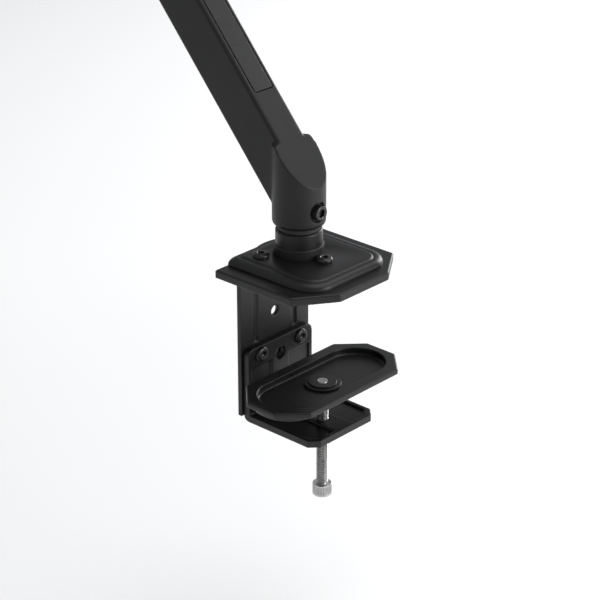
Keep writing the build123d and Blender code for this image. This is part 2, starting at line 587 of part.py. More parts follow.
def elbow_parts():
    recess_top = BOSS_BOTTOM + ELBOW_RECESS_DEEP
    bush = post(ELBOW_X, 0, recess_top, BOSS_TOP, ELBOW_BUSH_R)
    bush -= post(ELBOW_X, 0, BOSS_BOTTOM, BOSS_TOP + 1, ELBOW_PIN_R + RUNNING)
    save("elbow_bush", bush)
    cap = post(ELBOW_X, 0, BOSS_BOTTOM, BOSS_BOTTOM + CAP_THICK, ELBOW_RECESS_R)
    cap = fillet(cap.edges().sort_by(Axis.Z)[:1], 0.8)
    save("elbow_cap", cap)
    washer = post(ELBOW_X, 0, BOSS_TOP, TABLE_BOTTOM, BOSS_R - 2.2)
    washer -= post(ELBOW_X, 0, BOSS_BOTTOM, TABLE_TOP, ELBOW_PIN_R + LOOSE)
    save("elbow_thrust_washer", washer)
    pin_end = recess_top - 0.3
    pin = post(ELBOW_X, 0, pin_end, TABLE_TOP, ELBOW_PIN_R)
    pin -= post(ELBOW_X, 0, pin_end - PAST, pin_end + ELBOW_SCREW_LONG + 2, BOLT_R)
    save("elbow_pin", pin)
    head_seat = pin_end - RETAINER_THICK
    head_end = head_seat - ELBOW_SCREW_HEAD
    retainer = post(ELBOW_X, 0, head_seat, pin_end, ELBOW_RECESS_R - 1)
    retainer -= post(ELBOW_X, 0, head_seat - PAST, pin_end + PAST, BOLT_R + LOOSE)
    save("elbow_washer", retainer)
    screw = post(ELBOW_X, 0, head_seat, pin_end + ELBOW_SCREW_LONG, BOLT_R)
    screw += post(ELBOW_X, 0, head_end, head_seat, HUB_HEAD_R)
    screw -= hexagon(ELBOW_X, 0, head_end - PAST, head_end + ELBOW_SCREW_HEAD / 2, ELBOW_KEY)
    save("elbow_screw", screw)


# ---- elbow knuckle ----------------------------------------------------------------------
def knuckle():
    table = post(0, 0, TABLE_BOTTOM, TABLE_TOP, TURNTABLE_R)
    table = fillet(table.edges().sort_by(Axis.Z)[:1], 1.0)
    back = -TENSION_BACK - TENSION_R - BACK_WALL
    crown = LIFT_Z - CROWN_DOWN
    profile = [(back, TABLE_TOP), (NEAR + LINK_TONGUE_R - 2, TABLE_TOP), (NEAR + LINK_TONGUE_R, LINK_Z),
               (NEAR + LINK_TONGUE_R, LIFT_Z), (NEAR - TONGUE_R + 1, LIFT_Z), (0, crown), (back, crown - CROWN_FALL)]
    tower = side_prism(profile, -TONGUE_HALF, TONGUE_HALF)
    tower += bar_x(NEAR, LIFT_Z, -TONGUE_HALF, TONGUE_HALF, TONGUE_R)
    tower += bar_x(NEAR, LINK_Z, -TONGUE_HALF, TONGUE_HALF, LINK_TONGUE_R)
    slot_back = back + BACK_WALL_THICK
    tower -= box(-CHEEK_GAP, CHEEK_GAP, slot_back, NEAR + THROUGH, TABLE_TOP + 1, LIFT_Z + THROUGH)
    body = table + tower
    body -= post(0, 0, TABLE_BOTTOM - 1, TABLE_TOP, ELBOW_PIN_R)
    for z in (LIFT_Z, LINK_Z):
        body -= bar_x(NEAR, z, -TONGUE_HALF - 1, TONGUE_HALF + 1, PIVOT_R + RUNNING)
    save("elbow_knuckle", Pos(ELBOW_X, 0, 0) * body)
    nose = bar_x(NOSE_Y, GAS_Z, -CHEEK_GAP + GAP, CHEEK_GAP - GAP, NOSE_R)
    block = nose + box(-CHEEK_GAP + GAP, CHEEK_GAP - GAP, -TENSION_BACK - TENSION_R - 1, NOSE_Y,
                       GAS_Z - NOSE_R, GAS_Z + NOSE_R)
    block -= post(0, -TENSION_BACK, TABLE_TOP, LIFT_Z, TENSION_R)
    save("tension_block", Pos(ELBOW_X, 0, 0) * block)
    screw = post(0, -TENSION_BACK, TABLE_TOP + 1, crown - 4, TENSION_R)
    screw -= hexagon(0, -TENSION_BACK, crown - 9, crown, 4.0)
    save("tension_screw", Pos(ELBOW_X, 0, 0) * screw)


# ---- upper arm --------------------------------------------------------------------------
def arm_shell():
    bottom, top = LIFT_Z - SHELL_SKIRT, LIFT_Z + WEB_CLEAR + SHELL_WALL
    y0, y1 = NEAR - SHELL_END, FAR + SHELL_END
    outer = box(-SHELL_HALF, SHELL_HALF, y0, y1, bottom, top)
    outer = fillet(outer.edges().filter_by(Axis.Y).sort_by(Axis.Z)[-2:], SHELL_ROUND)
    inside = SHELL_HALF - SHELL_WALL
    inner = box(-inside, inside, y0 - 1, y1 + 1, bottom - 1, top - SHELL_WALL)
    inner = fillet(inner.edges().filter_by(Axis.Y).sort_by(Axis.Z)[-2:], SHELL_ROUND - SHELL_WALL)
    body = outer - inner
    for y, corner in ((y0, SHELL_CORNER), (y1, -SHELL_CORNER)):
        cut = [(y, bottom), (y + corner, bottom), (y, bottom + SHELL_CORNER)]
        body -= side_prism(cut, -THROUGH, THROUGH)
    for y in (NEAR, FAR):
        body -= bar_x(y, LIFT_Z, -THROUGH, THROUGH, PIVOT_R)
    body -= bar_x(GAS_EYE, GAS_Z, -THROUGH, THROUGH, GAS_PIN_R)
    save("arm_top_shell", Pos(ELBOW_X, 0, 0) * body)
    pins = []
    spacers = []
    for y in (NEAR, FAR):
        pins.append(Pos(ELBOW_X, 0, 0) * bar_x(y, LIFT_Z, -SHELL_HALF, SHELL_HALF, PIVOT_R))
        for side in (-1, 1):
            x0, x1 = sorted((side * (TONGUE_HALF + RUNNING), side * inside))
            ring = bar_x(y, LIFT_Z, x0, x1, SPACER_R) - bar_x(y, LIFT_Z, x0 - 1, x1 + 1, PIVOT_R)
            spacers.append(Pos(ELBOW_X, 0, 0) * ring)
    save("lift_pins", *[p.solids()[0] for p in pins])
    save("pivot_spacers", *[s.solids()[0] for s in spacers])


def gas_spring():
    tube = bar_y(0, GAS_Z, GAS_START, GAS_END, GAS_R)
    tube -= bar_y(0, GAS_Z, GAS_START + GAS_WALL, GAS_END - GAS_WALL, GAS_BORE_R)
    tube -= bar_y(0, GAS_Z, GAS_START - PAST, GAS_START + GAS_WALL + PAST, GAS_ROD_R + RUNNING)
    tube += bar_x(GAS_EYE, GAS_Z, -GAS_EYE_HALF, GAS_EYE_HALF, GAS_EYE_R)
    tube += box(1 - GAS_EYE_HALF, GAS_EYE_HALF - 1, GAS_END - 1, GAS_EYE, GAS_Z - 4, GAS_Z + 4)
    tube -= bar_x(GAS_EYE, GAS_Z, -THROUGH, THROUGH, GAS_PIN_R)
    save("gas_cylinder", Pos(ELBOW_X, 0, 0) * tube)
    save("gas_pin", Pos(ELBOW_X, 0, 0) * bar_x(GAS_EYE, GAS_Z, -SHELL_HALF, SHELL_HALF, GAS_PIN_R))
    seat = NOSE_Y + NOSE_R + SEAT_PLAY
    rod = box(-CHEEK_GAP + GAP, CHEEK_GAP - GAP, seat, seat + ROD_END_LONG, GAS_Z - 5, GAS_Z + 5)
    piston = GAS_START + PISTON_AT
    rod += bar_y(0, GAS_Z, seat + ROD_END_LONG - 1, piston + PISTON_LONG / 2, GAS_ROD_R)
    rod += bar_y(0, GAS_Z, piston, piston + PISTON_LONG, GAS_BORE_R - RUNNING)
    save("gas_rod", Pos(ELBOW_X, 0, 0) * rod)


def parallel_link():
    inside = LINK_HALF - LINK_WALL
    wall_top = LINK_FLOOR + LINK_SIDE
    first, last = NEAR + LINK_END, FAR - LINK_END
    body = box(-LINK_HALF, LINK_HALF, first, last, LINK_FLOOR, wall_top)
    for y, inward in ((NEAR, 1), (FAR, -1)):
        reach = y + inward * EAR_REACH
        side = [(y, LINK_Z - LINK_EAR_R), (y + inward * EAR_REACH / 2, LINK_FLOOR), (reach, LINK_FLOOR),
                (reach, wall_top), (y, LINK_Z + LINK_EAR_R)]
        ear = side_prism(side, -LINK_HALF, LINK_HALF)
        body += ear + bar_x(y, LINK_Z, -LINK_HALF, LINK_HALF, LINK_EAR_R)
    above = LINK_Z + THROUGH
    body -= box(-inside, inside, first, last, LINK_FLOOR + LINK_FLOOR_THICK, above)
    body -= box(-inside, inside, NEAR - THROUGH, first + 0.01, LINK_FLOOR - PAST, above)
    body -= box(-inside, inside, last - 0.01, FAR + THROUGH, LINK_FLOOR - PAST, above)
    for y in (NEAR, FAR):
        body -= bar_x(y, LINK_Z, -THROUGH, THROUGH, PIVOT_R)
    save("parallel_link", Pos(ELBOW_X, 0, 0) * body)
    pins = [Pos(ELBOW_X, 0, 0) * bar_x(y, LINK_Z, -LINK_HALF, LINK_HALF, PIVOT_R) for y in (NEAR, FAR)]
    save("link_pins", *[p.solids()[0] for p in pins])
    cover = box(-LINK_HALF, LINK_HALF, first + COVER_SHORT, last - COVER_SHORT,
                LINK_FLOOR - COVER_THICK, LINK_FLOOR)
    cover = fillet(cover.edges().filter_by(Axis.Y).sort_by(Axis.Z)[:2], COVER_THICK - 0.4)
    save("arm_bottom_cover", Pos(ELBOW_X, 0, 0) * cover)
    clips = []
    under = LINK_FLOOR - COVER_THICK
    for y in (NEAR + ARM_LENGTH * 0.3, NEAR + ARM_LENGTH * 0.7):
        y0, y1 = y - CLIP_LONG / 2, y + CLIP_LONG / 2
        opening = CLIP_HALF - CLIP_WALL
        clip = box(-CLIP_HALF, CLIP_HALF, y0, y1, under - CLIP_DROP, under)
        clip -= box(-opening, opening, y0 - PAST, y1 + PAST, under - CLIP_DROP + CLIP_WALL, under - CLIP_THICK)
        clip -= box(-CLIP_WALL, CLIP_WALL, y0 - PAST, y1 + PAST, under - CLIP_DROP - PAST, under - CLIP_DROP / 2)
        clips.append(Pos(ELBOW_X, 0, 0) * clip)
    save("cable_clips", *[c.solids()[0] for c in clips])


# ---- head -------------------------------------------------------------------------------
def head_knuckle():
    barrel = post(0, HEAD_Y, BARREL_BOTTOM, BARREL_TOP, BARREL_R)
    barrel = fillet(barrel.edges().filter_by(GeomType.CIRCLE), 1.2)
    low, high = LINK_Z - 4, LIFT_Z - 2
    neck = box(-TONGUE_HALF, TONGUE_HALF, FAR, HEAD_Y - 8, low, high)
    body = neck + bar_x(FAR, LIFT_Z, -TONGUE_HALF, TONGUE_HALF, TONGUE_R)
    body += bar_x(FAR, LINK_Z, -TONGUE_HALF, TONGUE_HALF, LINK_TONGUE_R)
    body += box(-TONGUE_HALF, TONGUE_HALF, FAR - LINK_TONGUE_R, FAR, LINK_Z, LIFT_Z)
    body += barrel
    body -= post(0, HEAD_Y, BARREL_BOTTOM - 1, BARREL_TOP + 1, HEAD_BUSH_R)
    for z in (LIFT_Z, LINK_Z):
        body -= bar_x(FAR, z, -THROUGH, THROUGH, PIVOT_R + RUNNING)
    save("head_knuckle", Pos(ELBOW_X, 0, 0) * body)
    bush = post(0, HEAD_Y, BARREL_BOTTOM, BARREL_TOP, HEAD_BUSH_R)
    bush -= post(0, HEAD_Y, BARREL_BOTTOM - 1, BARREL_TOP + 1, HEAD_PIN_R + RUNNING)
    save("head_bush", Pos(ELBOW_X, 0, 0) * bush)


def swivel_bracket():
    ear_outer = EAR_INNER + EAR_THICK
    disc = post(0, HEAD_Y, SWIVEL_BOTTOM, SWIVEL_TOP, BARREL_R)
    arm = box(0, TILT_REACH - 14, HEAD_Y - ear_outer, HEAD_Y + ear_outer, SWIVEL_BOTTOM, SWIVEL_TOP)
    body = disc + arm
    for side in (-1, 1):
        y0, y1 = sorted((HEAD_Y + side * EAR_INNER, HEAD_Y + side * ear_outer))
        ear = front_prism([(TILT_REACH - 20, SWIVEL_BOTTOM), (TILT_REACH - 2, SWIVEL_BOTTOM),
                           (TILT_REACH + 9, TILT_Z - 5), (TILT_REACH, TILT_Z), (TILT_REACH - EAR_R, TILT_Z)], y0, y1)
        body += ear + bar_y(TILT_REACH, TILT_Z, y0, y1, EAR_R)
    body -= bar_y(TILT_REACH, TILT_Z, HEAD_Y - THROUGH, HEAD_Y + THROUGH, TILT_BOLT_R)
    body -= post(0, HEAD_Y, SWIVEL_BOTTOM - 1, SWIVEL_TOP + 1, HEAD_PIN_R)
    save("swivel_bracket", Pos(ELBOW_X, 0, 0) * body)
    washer = post(0, HEAD_Y, SWIVEL_TOP, BARREL_BOTTOM, BARREL_R - 1.5)
    washer -= post(0, HEAD_Y, SWIVEL_BOTTOM, BARREL_TOP, HEAD_PIN_R + LOOSE)
    save("head_washer", Pos(ELBOW_X, 0, 0) * washer)
    pin = post(0, HEAD_Y, SWIVEL_BOTTOM, BARREL_TOP + GAP, HEAD_PIN_R)
    pin += post(0, HEAD_Y, BARREL_TOP + GAP, BARREL_TOP + GAP + 2, HEAD_PIN_R + 1.5)
    save("head_pin", Pos(ELBOW_X, 0, 0) * pin)
    near_ear, far_ear = HEAD_Y - ear_outer, HEAD_Y + ear_outer
    head_face = near_ear - TILT_HEAD_HIGH
    tilt_bolt = bar_y(TILT_REACH, TILT_Z, near_ear, far_ear + TILT_BOLT_PAST, TILT_BOLT_R)
    tilt_head = bar_y(TILT_REACH, TILT_Z, head_face, near_ear, TILT_HEAD_R)
    socket = Pos(TILT_REACH, head_face - PAST, TILT_Z) * Rot(-90, 0, 0) * extrude(
        RegularPolygon(SMALL_HEX / 2, 6, major_radius=False), 4)
    tilt_bolt = tilt_bolt + tilt_head - socket
    save("tilt_bolt", Pos(ELBOW_X, 0, 0) * tilt_bolt)
    nut = Pos(TILT_REACH, far_ear, TILT_Z) * Rot(-90, 0, 0) * extrude(
        RegularPolygon(TILT_NUT / 2, 6, major_radius=False), TILT_NUT_THICK)
    nut -= bar_y(TILT_REACH, TILT_Z, HEAD_Y, far_ear + THROUGH, TILT_BOLT_R)
    save("tilt_nut", Pos(ELBOW_X, 0, 0) * nut)


def tilt_head():
    half = EAR_INNER - 0.3
    body = bar_y(TILT_X, TILT_Z, HEAD_Y - half, HEAD_Y + half, EAR_R)
    body += bar_x(HEAD_Y, TILT_Z, TILT_X, TILT_X + FLANGE_AHEAD + 1, 9.0)
    body += bar_x(HEAD_Y, TILT_Z, TILT_X + FLANGE_AHEAD, FLANGE_FRONT, FLANGE_R)
    body -= bar_y(TILT_X, TILT_Z, HEAD_Y - THROUGH, HEAD_Y + THROUGH, TILT_BOLT_R + RUNNING)
    body += bar_x(HEAD_Y, TILT_Z, FLANGE_FRONT - 1, DISH_BACK + VESA_THICK + 4.4, SPINDLE_R)
    save("tilt_block", body)
    washer = bar_x(HEAD_Y, TILT_Z, FLANGE_FRONT, DISH_BACK, FLANGE_R - 1)
    washer -= bar_x(HEAD_Y, TILT_Z, FLANGE_FRONT - 1, DISH_BACK + 1, SPINDLE_R + LOOSE)
    save("friction_washer", washer)
    nut_back = DISH_BACK + VESA_THICK + 0.1
    nut = Pos(nut_back, HEAD_Y, TILT_Z) * Rot(0, 90, 0) * extrude(RegularPolygon(NUT_R, 6, major_radius=False), 4)
    nut -= bar_x(HEAD_Y, TILT_Z, nut_back - 1, nut_back + 6, SPINDLE_R)
    save("plate_nut", nut)


def vesa_plate():
    half = VESA_SIDE / 2
    plate = Box(VESA_THICK, VESA_SIDE, VESA_SIDE)
    plate = fillet(plate.edges().filter_by(Axis.X), VESA_CORNER)
    body = Pos(VESA_BACK + VESA_THICK / 2, HEAD_Y, TILT_Z) * plate
    body -= bar_x(HEAD_Y, TILT_Z, VESA_BACK - 1, VESA_BACK + VESA_THICK + 1, DISH_R + 0.01)
    wall = bar_x(HEAD_Y, TILT_Z, DISH_BACK, VESA_BACK + VESA_THICK, DISH_R + 2)
    wall -= bar_x(HEAD_Y, TILT_Z, DISH_BACK + VESA_THICK, VESA_BACK + 9, DISH_R - 0.5)
    body += wall
    body -= bar_x(HEAD_Y, TILT_Z, DISH_BACK - 1, VESA_BACK + 9, SPINDLE_R + RUNNING)
    for pitch in (VESA_WIDE_PATTERN, VESA_SMALL_PATTERN):
        for sy in (-1, 1):
            for sz in (-1, 1):
                body -= bar_x(HEAD_Y + sy * pitch / 2, TILT_Z + sz * pitch / 2,
                              VESA_BACK - 1, VESA_BACK + VESA_THICK + 1, VESA_HOLE_R)
    for turn in range(4):
        outline = SlotOverall(VESA_SLOT_LONG, VESA_SLOT_WIDE)
        slot = Pos(0, 0, half - VESA_SLOT_IN) * Rot(90, 90, 0) * extrude(outline, 20, both=True)
        slot = Rot(turn * 90, 0, 0) * (Rot(0, 0, 90) * slot)
        body -= Pos(VESA_BACK, HEAD_Y, TILT_Z) * slot
    save("vesa_plate", body)


for make in (base_plate, post_base, pole, base_screws, upper_bracket, lower_bracket, bracket_bolts,
             clamp_screw, clamp_pad, pad_hardware, lower_arm, hub_parts, elbow_parts, knuckle,
             arm_shell, gas_spring, parallel_link, head_knuckle, swivel_bracket, tilt_head, vesa_plate):
    make()
print(f"elbow axis x {ELBOW_X:.3f}  boss top {BOSS_TOP:.3f}  lift z {LIFT_Z:.3f}  link z {LINK_Z:.3f}")
print(f"far y {FAR:.2f}  head y {HEAD_Y:.2f}  tilt x {TILT_X:.3f} z {TILT_Z:.3f}  vesa face {VESA_BACK + VESA_THICK:.3f}")
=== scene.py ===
"""Looks of a desk-clamp monitor arm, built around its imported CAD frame. Metres."""
import json
from math import cos, pi, radians, sin, tau
import bmesh
import bpy
from mathutils import Matrix, Vector


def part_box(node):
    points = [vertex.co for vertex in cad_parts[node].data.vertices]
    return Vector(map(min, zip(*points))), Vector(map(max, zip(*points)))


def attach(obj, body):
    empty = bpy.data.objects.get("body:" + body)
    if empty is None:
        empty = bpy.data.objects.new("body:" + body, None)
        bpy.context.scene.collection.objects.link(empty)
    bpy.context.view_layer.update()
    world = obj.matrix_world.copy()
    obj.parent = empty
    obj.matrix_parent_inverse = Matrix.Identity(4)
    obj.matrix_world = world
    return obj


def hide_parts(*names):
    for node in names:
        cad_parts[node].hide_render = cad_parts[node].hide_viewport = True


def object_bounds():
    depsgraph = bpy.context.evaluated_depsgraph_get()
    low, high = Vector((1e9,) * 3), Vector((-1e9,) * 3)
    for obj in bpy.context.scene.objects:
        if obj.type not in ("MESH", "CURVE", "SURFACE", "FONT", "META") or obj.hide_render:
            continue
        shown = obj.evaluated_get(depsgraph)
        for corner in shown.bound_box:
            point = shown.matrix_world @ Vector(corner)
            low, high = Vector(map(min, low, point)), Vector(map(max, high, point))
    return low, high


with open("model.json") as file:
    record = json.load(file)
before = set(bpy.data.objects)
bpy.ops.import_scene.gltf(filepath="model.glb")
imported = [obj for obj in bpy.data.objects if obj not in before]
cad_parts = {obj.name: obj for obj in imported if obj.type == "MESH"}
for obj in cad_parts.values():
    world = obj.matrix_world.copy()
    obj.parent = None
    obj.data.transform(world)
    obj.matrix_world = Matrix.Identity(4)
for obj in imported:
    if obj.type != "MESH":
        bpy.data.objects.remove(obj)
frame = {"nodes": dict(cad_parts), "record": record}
CAD_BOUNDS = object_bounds()
MM = 0.001

# ---- places read from the frame ---------------------------------------------------------
FOOT_LO, FOOT_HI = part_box("post_base")
SCREW_LO, SCREW_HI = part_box("clamp_screw")
HUB_SCREW_LO, HUB_SCREW_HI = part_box("hub_screw")
BASE_SCREWS_LO, BASE_SCREWS_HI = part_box("base_screws")
BOLTS_LO, BOLTS_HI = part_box("bracket_bolts")
NUTS_LO, NUTS_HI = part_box("bracket_nuts")
TILT_BOLT_LO, TILT_BOLT_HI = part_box("tilt_bolt")
TILT_NUT_LO, TILT_NUT_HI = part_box("tilt_nut")
PLATE_NUT_LO, PLATE_NUT_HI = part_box("plate_nut")

# ---- sizes of the foot and the fasteners, the same as in the CAD ------------------------
FLARE_SIDE = 6.5 * MM     # the foot's walls spread by this much
FLARE_FRONT = 4.5 * MM
FLARE_BACK = 2.5 * MM
SKIRT_ROUND = 18 * MM     # front corners where the foot meets the plate
CROWN_ROUND = 13 * MM     # and at its top
BACK_ROUND = 3 * MM
POLE_R = 15.5 * MM
FLANGE_R = 30.3 * MM      # the foot's pocket over the pole's flange
FLANGE_HIGH = 3.1 * MM
THREAD_PITCH = 1.25 * MM
THREAD_R = 3.95 * MM
THREAD_DEEP = 0.72 * MM
CLAMP_HEAD_HIGH = 8.5 * MM
M6_R = 3.0 * MM
M8_R = 4.0 * MM
BASE_HEAD_R = 5.5 * MM
BOLT_HEAD_R = 5.25 * MM
BOLT_HEAD_HIGH = 2.6 * MM
HUB_HEAD_R = 5.0 * MM
TILT_HEAD_R = 6.5 * MM
CAP_HIGH = 5.0 * MM       # head height of the hub screw and the tilt bolt
BUTTON_HEX = 4.0 * MM     # key sizes
CAP_HEX = 5.0 * MM
CLAMP_HEX = 6.0 * MM
BUTTON_SOCKET = 1.5 * MM  # depths of the sockets
HUB_SOCKET = 2.8 * MM
TILT_SOCKET = 3.0 * MM
CLAMP_SOCKET = 5.0 * MM
BOLT_NUT = 10 * MM        # nuts, across their flats
TILT_NUT = 13 * MM
PLATE_NUT = 16 * MM
PLATE_NUT_BORE = 5.0 * MM


# ---- camera, light and floor ------------------------------------------------------------
def camera():
    """A long lens at the photograph's angle: 42.5 degrees round and 24.6 degrees above."""
    azimuth, elevation, distance = radians(42.48), radians(24.64), 1.367
    ahead = Vector((-sin(azimuth) * cos(elevation), cos(azimuth) * cos(elevation), -sin(elevation)))
    right = Vector((cos(azimuth), sin(azimuth), 0))
    above = right.cross(ahead)
    eye = bpy.data.cameras.new("camera")
    eye.sensor_width = 36
    eye.lens = 126.4
    shift_right, shift_down = 0.00063, 0.02158
    rig = bpy.data.objects.new("camera", eye)
    rig.location = -ahead * distance + right * shift_right - above * shift_down
    rig.rotation_euler = (pi / 2 - elevation, 0, azimuth)
    bpy.context.scene.collection.objects.link(rig)
    bpy.context.scene.camera = rig


def area_light(name, place, target, size, watts, colour=(1, 1, 1)):
    """A square softbox that looks at target."""
    lamp = bpy.data.lights.new(name, "AREA")
    lamp.shape = "SQUARE"
    lamp.size = size
    lamp.energy = watts
    lamp.color = colour
    holder = bpy.data.objects.new(name, lamp)
    holder.location = place
    holder.rotation_euler = (Vector(target) - Vector(place)).to_track_quat("-Z", "Y").to_euler()
    bpy.context.scene.collection.objects.link(holder)


def studio():
    """An even dome, softboxes overhead, at the right and low behind, and the floor."""
    bpy.context.scene.view_settings.view_transform = "Standard"
    world = bpy.data.worlds.new("studio")
    world.use_nodes = True
    dome = world.node_tree.nodes["Background"].inputs
    dome["Color"].default_value = (0.96, 0.975, 1.0, 1)
    dome["Strength"].default_value = 0.40
    bpy.context.scene.world = world
    area_light("top_softbox", (0.3, 0.5, 1.6), (0, 0, 0), 1.5, 13)
    area_light("right_softbox", (1.75, 0.65, 0.45), (0, 0, 0), 1.0, 17)
    area_light("back_softbox", (-0.2, 2.1, 0.45), (0, 0, 0), 0.9, 22)
    white_floor()


def white_floor():
    """White paper well below the clamp, faintly lit by itself so that it stays white."""
    half, drop = 6.0, 0.10
    z = CAD_BOUNDS[0].z - drop
    mesh = bpy.data.meshes.new("floor")
    corners = [(-half, -half, z), (half, -half, z), (half, half, z), (-half, half, z)]
    mesh.from_pydata(corners, [], [(0, 1, 2, 3)])
    floor = bpy.data.objects.new("floor", mesh)
    bpy.context.scene.collection.objects.link(floor)
    paper = bpy.data.materials.new("floor_paper")
    paper.use_nodes = True
    shader = paper.node_tree.nodes["Principled BSDF"]
    shader.inputs["Base Color"].default_value = (0.93, 0.93, 0.93, 1)
    shader.inputs["Roughness"].default_value = 0.9
    shader.inputs["Emission Color"].default_value = (1, 1, 1, 1)
    shader.inputs["Emission Strength"].default_value = 0.16
    floor.data.materials.append(paper)


# ---- materials --------------------------------------------------------------------------
class Nodes:
    """A short way to write a procedural material's nodes."""

    def __init__(self, name):
        self.material = bpy.data.materials.new(name)
        self.material.use_nodes = True
        self.tree = self.material.node_tree
        self.shader = self.tree.nodes["Principled BSDF"]
        self.place = self.add("ShaderNodeTexCoord").outputs["Object"]

    def add(self, kind, **inputs):
        node = self.tree.nodes.new(kind)
        for key, value in inputs.items():
            self.put(node.inputs[key.replace("_", " ")], value)
        return node

    def put(self, socket, value):
        """A value is a number, a colour or another node's output."""
        if isinstance(value, bpy.types.NodeSocket):
            self.tree.links.new(value, socket)
        else:
            socket.default_value = value

    def noise(self, scale, detail=3.0, roughness=0.55, vector=None):
        node = self.add("ShaderNodeTexNoise", Scale=scale, Detail=detail, Roughness=roughness)
        self.put(node.inputs["Vector"], vector or self.place)
        return node.outputs["Fac"]

    def ramp(self, factor, low, high, from_low=0.3, from_high=0.7):
        """Maps a factor linearly on to the range low to high."""
        node = self.add("ShaderNodeMapRange", Value=factor, From_Min=from_low, From_Max=from_high,
                        To_Min=low, To_Max=high)
        return node.outputs["Result"]

    def tint(self, factor, low, high):
        """Mixes two colours by a factor; each is a colour or another node's output."""
        node = self.tree.nodes.new("ShaderNodeMix")
        node.data_type = "RGBA"
        self.put(node.inputs[0], factor)
        for socket, colour in ((node.inputs[6], low), (node.inputs[7], high)):
            self.put(socket, (*colour, 1) if isinstance(colour, tuple) else colour)
        return node.outputs[2]

    def bump(self, height, distance, strength=1.0, under=None):
        node = self.add("ShaderNodeBump", Strength=strength, Distance=distance)
        self.put(node.inputs["Height"], height)
        if under:
            self.put(node.inputs["Normal"], under)
        return node.outputs["Normal"]

    def edge_wear_and_glint(self, amount):
        """A factor that rises only on sharp outer edges; it lightens them for wear and as a painted
        highlight.
        """
        point = self.add("ShaderNodeNewGeometry").outputs["Pointiness"]
        return self.ramp(point, 0.0, amount, 0.53, 0.60)

    def hollow_shade(self):
        """A factor that falls to 0 in hollows as fine as a thread's grooves, where shade is painted."""
        point = self.add("ShaderNodeNewGeometry").outputs["Pointiness"]
        return self.ramp(point, 0, 1, 0.43, 0.54)

    def finish(self, **inputs):
        for key, value in inputs.items():
            self.put(self.shader.inputs[key.replace("_", " ")], value)
        return self.material


def powder_coat():
    """Fine-textured satin black powder coat on steel."""
    n = Nodes("black_powder_coat")
    fine = n.noise(2400, 2.0)
    orange_peel = n.noise(420, 2.0)
    broad = n.noise(30, 3.0)
    colour = n.tint(n.ramp(broad, 0, 1), (0.0042, 0.0042, 0.0046), (0.0064, 0.0064, 0.0070))
    rough = n.ramp(broad, 0.34, 0.42)
    normal = n.bump(orange_peel, 0.00006, 0.8, n.bump(fine, 0.00002, 0.6))
    return n.finish(Base_Color=colour, Roughness=rough, Normal=normal, Specular_IOR_Level=0.40)


def cast_paint():
    """Satin black paint on cast aluminium, slightly softer than the powder coat."""
    n = Nodes("black_cast_paint")
    grain = n.noise(1500, 3.0)
    skin = n.noise(160, 2.0)
    broad = n.noise(22, 3.0)
    colour = n.tint(n.ramp(broad, 0, 1), (0.0050, 0.0050, 0.0054), (0.0075, 0.0075, 0.0081))
    rough = n.ramp(broad, 0.44, 0.54)
    normal = n.bump(skin, 0.00012, 0.7, n.bump(grain, 0.00003, 0.8))
    return n.finish(Base_Color=colour, Roughness=rough, Normal=normal, Specular_IOR_Level=0.40)


def black_plastic():
    """Moulded black plastic with a fine spark-eroded grain."""
    n = Nodes("black_plastic")
    grain = n.noise(1900, 4.0, 0.7)
    broad = n.noise(40, 2.0)
    colour = n.tint(n.ramp(broad, 0, 1), (0.005, 0.005, 0.0055), (0.008, 0.008, 0.0085))
    normal = n.bump(grain, 0.00004, 0.9)
    return n.finish(Base_Color=colour, Roughness=n.ramp(grain, 0.46, 0.62), Normal=normal)


def bearing_plastic():
    """Dull self-lubricating plastic with faint turning marks round Z."""
    n = Nodes("bearing_plastic")
    ring = n.noise(900, 2.0)
    colour = n.tint(n.ramp(ring, 0, 1), (0.014, 0.014, 0.015), (0.022, 0.022, 0.023))
    return n.finish(Base_Color=colour, Roughness=n.ramp(ring, 0.5, 0.65),
                    Normal=n.bump(ring, 0.00003, 0.6))


def black_oxide():
    """Oiled black oxide on screws, its edges painted lighter: partly wear, partly a painted highlight on
    the rims.
    """
    n = Nodes("black_oxide")
    mottle = n.noise(700, 4.0, 0.65)
    oxide = n.tint(n.ramp(mottle, 0, 1), (0.030, 0.030, 0.032), (0.060, 0.059, 0.058))
    # Lighter edges: partly wear, partly a painted highlight that stands in for glints on the screw rims.
    base = n.tint(n.edge_wear_and_glint(0.7), oxide, (0.28, 0.275, 0.27))
    return n.finish(Base_Color=base, Roughness=n.ramp(mottle, 0.26, 0.40), Metallic=0.75,
                    Normal=n.bump(mottle, 0.00002, 0.6))


def zinc_plate():
    """Bright zinc plate, slightly cloudy, with painted shade darkening the low places."""
    n = Nodes("zinc_plate")
    cloud = n.noise(260, 4.0, 0.6)
    scratch = n.noise(2600, 2.0)
    zinc_tone = n.tint(n.ramp(cloud, 0, 1), (0.50, 0.495, 0.49), (0.74, 0.73, 0.72))
    # Painted shade: the thread's grooves are darkened to 0.09 in the colour, where shade would fall.
    base = n.tint(n.hollow_shade(), (0.09, 0.09, 0.09), zinc_tone)
    return n.finish(Base_Color=base, Roughness=n.ramp(cloud, 0.24, 0.40), Metallic=1.0,
                    Normal=n.bump(scratch, 0.00001, 0.5))


def ground_steel():
    """Ground and plated rod, with fine marks."""
    n = Nodes("ground_steel")
    marks = n.noise(1800, 2.0)
    base = n.tint(n.ramp(marks, 0, 1), (0.52, 0.52, 0.53), (0.64, 0.64, 0.65))
    return n.finish(Base_Color=base, Roughness=n.ramp(marks, 0.14, 0.24), Metallic=1.0,
                    Normal=n.bump(marks, 0.000006, 0.5))


